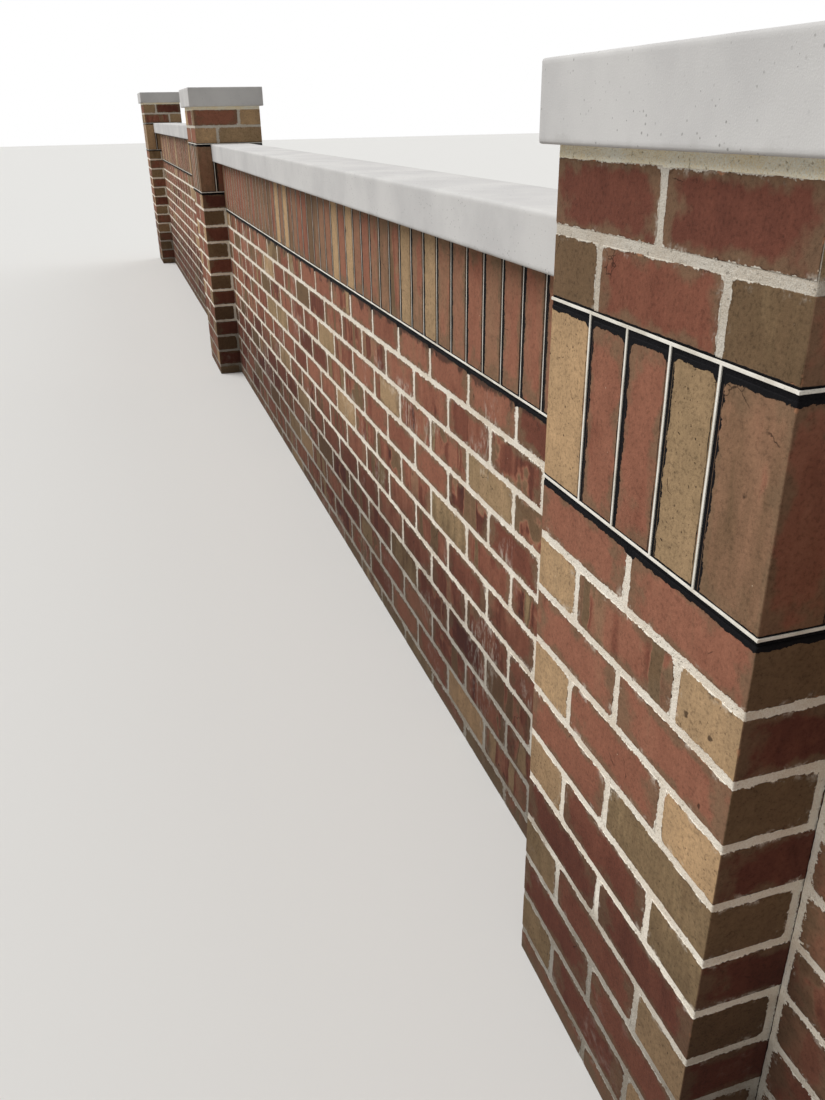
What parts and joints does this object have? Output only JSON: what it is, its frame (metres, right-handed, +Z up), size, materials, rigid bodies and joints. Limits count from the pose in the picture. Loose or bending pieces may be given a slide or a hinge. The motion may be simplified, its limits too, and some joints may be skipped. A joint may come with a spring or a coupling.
{
  "type": "brick garden wall",
  "caption": "Free-standing brick garden wall of thin panels between square piers, stepping down along its length, with upright brick bands and flat white caps and copings.",
  "frame": {"origin": "middle of the wall's underside, at the level of the lowest ground that it meets", "axes": "+X along the wall towards its lower end, which is on the right from the street; +Y from the street into the garden; +Z up"},
  "size_m": [14.91, 0.39, 1.595],
  "materials": {
    "brickwork": "matt red and brown pressed brick in cream mortar",
    "soldier_brickwork": "matt red, brown and tan brick in black mortar",
    "ribbon": "smooth white lime ribbon",
    "mortar": "sandy cream mortar",
    "cap": "matt white cement",
    "coping": "matt white cement"
  },
  "bodies": {
    "root": {"pier_1_shaft": "brickwork", "pier_1_soldier_band": "soldier_brickwork", "pier_1_ribbons": "ribbon", "pier_1_neck": "brickwork", "pier_1_cap_bed": "mortar", "pier_1_cap": "cap", "pier_2_shaft": "brickwork", "pier_2_soldier_band": "soldier_brickwork", "pier_2_ribbons": "ribbon", "pier_2_neck": "brickwork", "pier_2_cap_bed": "mortar", "pier_2_cap": "cap", "pier_3_shaft": "brickwork", "pier_3_soldier_band": "soldier_brickwork", "pier_3_ribbons": "ribbon", "pier_3_neck": "brickwork", "pier_3_cap_bed": "mortar", "pier_3_cap": "cap", "pier_4_shaft": "brickwork", "pier_4_soldier_band": "soldier_brickwork", "pier_4_ribbons": "ribbon", "pier_4_neck": "brickwork", "pier_4_cap_bed": "mortar", "pier_4_cap": "cap", "bay_1_brickwork": "brickwork", "bay_1_soldier_course": "soldier_brickwork", "bay_1_ribbons": "ribbon", "bay_1_coping": "coping", "bay_2_brickwork": "brickwork", "bay_2_soldier_course": "soldier_brickwork", "bay_2_ribbons": "ribbon", "bay_2_coping": "coping", "bay_3_brickwork": "brickwork", "bay_3_soldier_course": "soldier_brickwork", "bay_3_ribbons": "ribbon", "bay_3_coping": "coping"}
  },
  "joints": []
}
